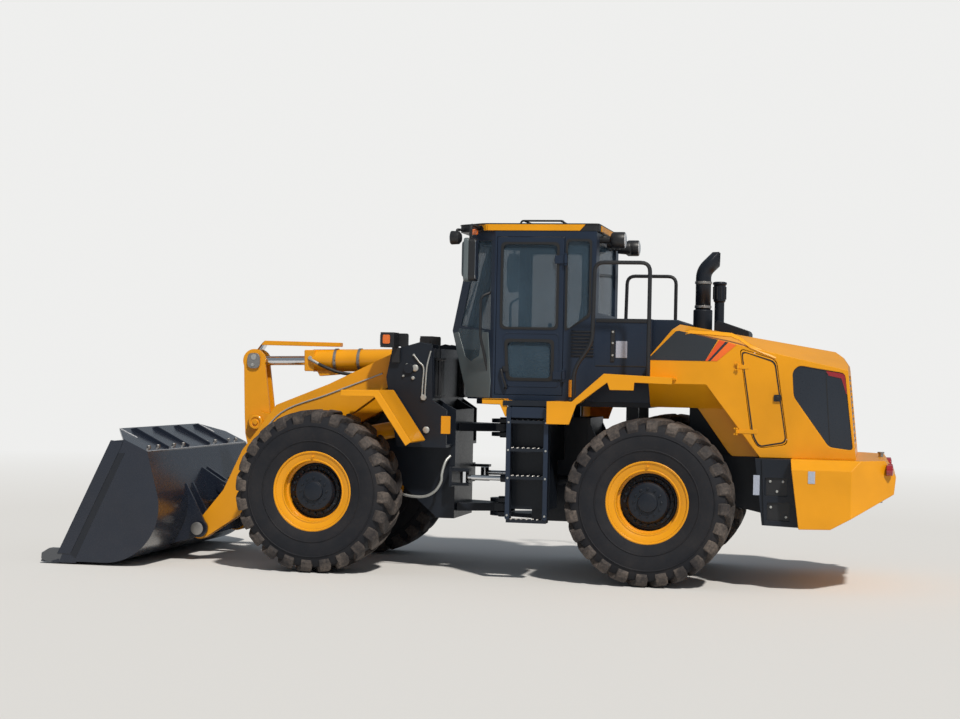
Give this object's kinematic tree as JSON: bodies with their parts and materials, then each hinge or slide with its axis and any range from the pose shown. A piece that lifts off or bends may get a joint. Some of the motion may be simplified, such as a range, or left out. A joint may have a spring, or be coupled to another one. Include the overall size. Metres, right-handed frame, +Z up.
{
  "type": "wheel loader",
  "caption": "Articulated wheel loader with a lowered bucket, Z-bar lift arms, a glazed cab with a ladder and handrails, a sloped engine hood and four large tyres",
  "frame": {"origin": "on the ground under the centre of the whole machine with its bucket lowered", "axes": "+X towards the bucket, +Y towards the machine's left side, +Z up"},
  "size_m": [8.421, 2.98, 3.5048],
  "materials": {
    "yellow_paint": "glossy warm yellow paint, a little dusty",
    "dark_paint": "semi-gloss dark grey paint",
    "bucket_paint": "glossy blue-black paint",
    "chrome_rod": "polished rod",
    "tyre_rubber": "dusty black rubber",
    "tinted_glass": "clear tinted",
    "seat_cloth": "dark woven cloth",
    "black_plastic": "matte black"
  },
  "bodies": {
    "rear_frame": {"rear_frame": "dark_paint", "rear_axle": "dark_paint", "counterweight": "yellow_paint", "engine_block": "dark_paint", "hood_shell": "yellow_paint", "rear_grille": "dark_paint", "exhaust": "dark_paint", "cab_frame": "dark_paint", "cab_roof": "yellow_paint", "cab_glass": "tinted_glass", "cab_interior": "seat_cloth", "ac_box": "dark_paint", "access_steps": "dark_paint", "rear_fenders": "yellow_paint", "rails_and_lamps": "black_plastic", "side_tanks": "dark_paint"},
    "front_frame": {"front_frame": "dark_paint", "front_axle": "dark_paint", "front_fenders": "yellow_paint", "headlamps": "black_plastic"},
    "lift_arms": {"lift_arms": "yellow_paint"},
    "rocker": {"rocker": "yellow_paint"},
    "tilt_link": {"tilt_link": "dark_paint"},
    "bucket": {"bucket": "bucket_paint", "bucket_edge": "bucket_paint"},
    "tilt_barrel": {"tilt_barrel": "yellow_paint"},
    "tilt_rod": {"tilt_rod": "chrome_rod"},
    "lift_barrels": {"lift_barrels": "yellow_paint"},
    "lift_rods": {"lift_rods": "chrome_rod"},
    "steer_barrel_left": {"steer_barrel_left": "dark_paint"},
    "steer_rod_left": {"steer_rod_left": "chrome_rod"},
    "steer_barrel_right": {"steer_barrel_right": "dark_paint"},
    "steer_rod_right": {"steer_rod_right": "chrome_rod"},
    "cab_door": {"cab_door": "dark_paint", "door_glass": "tinted_glass"},
    "hood_door_left": {"hood_door_left": "yellow_paint"},
    "hood_door_right": {"hood_door_right": "yellow_paint"},
    "wheel_front_left": {"tyre_front_left": "tyre_rubber", "rim_front_left": "yellow_paint"},
    "wheel_front_right": {"tyre_front_right": "tyre_rubber", "rim_front_right": "yellow_paint"},
    "wheel_rear_left": {"tyre_rear_left": "tyre_rubber", "rim_rear_left": "yellow_paint"},
    "wheel_rear_right": {"tyre_rear_right": "tyre_rubber", "rim_rear_right": "yellow_paint"}
  },
  "joints": [
    {"name": "steer", "type": "hinge", "parent": "rear_frame", "child": "front_frame", "pos_m": [-0.245, 0, 1.04], "axis": [0, 0, 1], "range_deg": [-38, 38]},
    {"name": "lift", "type": "hinge", "parent": "front_frame", "child": "lift_arms", "pos_m": [0.605, 0, 2.04], "axis": [0, -1, 0], "range_deg": [-2, 85]},
    {"name": "bucket_tilt", "type": "hinge", "parent": "lift_arms", "child": "bucket", "pos_m": [2.835, 0, 0.34], "axis": [0, 1, 0], "range_deg": [-43, 130]},
    {"name": "rocker_turn", "type": "hinge", "parent": "lift_arms", "child": "rocker", "pos_m": [2.415, 0, 1.44], "axis": [0, -1, 0], "range_deg": [-12.54, 36.9]},
    {"name": "link_turn", "type": "hinge", "parent": "bucket", "child": "tilt_link", "pos_m": [2.805, 0, 0.72], "axis": [0, -1, 0], "range_deg": [-28.45, 85]},
    {"name": "tilt_barrel_turn", "type": "hinge", "parent": "front_frame", "child": "tilt_barrel", "pos_m": [0.755, 0, 2.13], "axis": [0, -1, 0], "range_deg": [-2.64, 91.45]},
    {"name": "tilt_rod_slide", "type": "slide", "parent": "tilt_barrel", "child": "tilt_rod", "axis": [0.9998, 0, -0.0222], "range_m": [-0.3776, 0.1256]},
    {"name": "lift_barrel_turn", "type": "hinge", "parent": "front_frame", "child": "lift_barrels", "pos_m": [0.495, 0, 1.48], "axis": [0, -1, 0], "range_deg": [-2.15, 70.62]},
    {"name": "lift_rod_slide", "type": "slide", "parent": "lift_barrels", "child": "lift_rods", "axis": [0.9779, 0, -0.209], "range_m": [-0.0162, 0.6453]},
    {"name": "steer_barrel_left_turn", "type": "hinge", "parent": "rear_frame", "child": "steer_barrel_left", "pos_m": [-1.095, 0.52, 0.95], "axis": [0, 0, 1], "range_deg": [-8.86, 8.86]},
    {"name": "steer_rod_left_slide", "type": "slide", "parent": "steer_barrel_left", "child": "steer_rod_left", "axis": [0.9998, -0.0174, 0], "range_m": [-0.3248, 0.3248]},
    {"name": "front_left_wheel_spin", "type": "hinge", "parent": "front_frame", "child": "wheel_front_left", "pos_m": [1.415, 1.075, 0.8075], "axis": [0, 1, 0], "continuous": true},
    {"name": "rear_left_wheel_spin", "type": "hinge", "parent": "rear_frame", "child": "wheel_rear_left", "pos_m": [-1.905, 1.075, 0.8075], "axis": [0, 1, 0], "continuous": true},
    {"name": "steer_barrel_right_turn", "type": "hinge", "parent": "rear_frame", "child": "steer_barrel_right", "pos_m": [-1.095, -0.52, 0.95], "axis": [0, 0, 1], "range_deg": [-8.86, 8.86]},
    {"name": "steer_rod_right_slide", "type": "slide", "parent": "steer_barrel_right", "child": "steer_rod_right", "axis": [0.9998, 0.0174, 0], "range_m": [-0.3248, 0.3248]},
    {"name": "front_right_wheel_spin", "type": "hinge", "parent": "front_frame", "child": "wheel_front_right", "pos_m": [1.415, -1.075, 0.8075], "axis": [0, 1, 0], "continuous": true},
    {"name": "rear_right_wheel_spin", "type": "hinge", "parent": "rear_frame", "child": "wheel_rear_right", "pos_m": [-1.905, -1.075, 0.8075], "axis": [0, 1, 0], "continuous": true},
    {"name": "cab_door_swing", "type": "hinge", "parent": "rear_frame", "child": "cab_door", "pos_m": [-0.992, 0.82, 2.6], "axis": [0, 0, 1], "range_deg": [0, 90]},
    {"name": "hood_door_left_swing", "type": "hinge", "parent": "rear_frame", "child": "hood_door_left", "pos_m": [-2.713, 1, 1.8], "axis": [0, 0, -1], "range_deg": [0, 80]},
    {"name": "hood_door_right_swing", "type": "hinge", "parent": "rear_frame", "child": "hood_door_right", "pos_m": [-2.713, -1, 1.8], "axis": [0, 0, 1], "range_deg": [0, 80]}
  ],
  "couplings": [
    {"joint": "rocker_turn", "follows": "bucket_tilt", "ratio": 0.28},
    {"joint": "link_turn", "follows": "bucket_tilt", "ratio": 0.65},
    {"joint": "tilt_barrel_turn", "follows": "lift", "ratio": 1.07},
    {"joint": "tilt_rod_slide", "follows": "bucket_tilt", "m_per_rad": -0.166},
    {"joint": "lift_barrel_turn", "follows": "lift", "ratio": 0.825},
    {"joint": "lift_rod_slide", "follows": "lift", "m_per_rad": 0.4343},
    {"joint": "steer_barrel_left_turn", "follows": "steer", "ratio": 0.22},
    {"joint": "steer_rod_left_slide", "follows": "steer", "m_per_rad": -0.48816},
    {"joint": "steer_barrel_right_turn", "follows": "steer", "ratio": 0.22},
    {"joint": "steer_rod_right_slide", "follows": "steer", "m_per_rad": 0.48816}
  ]
}
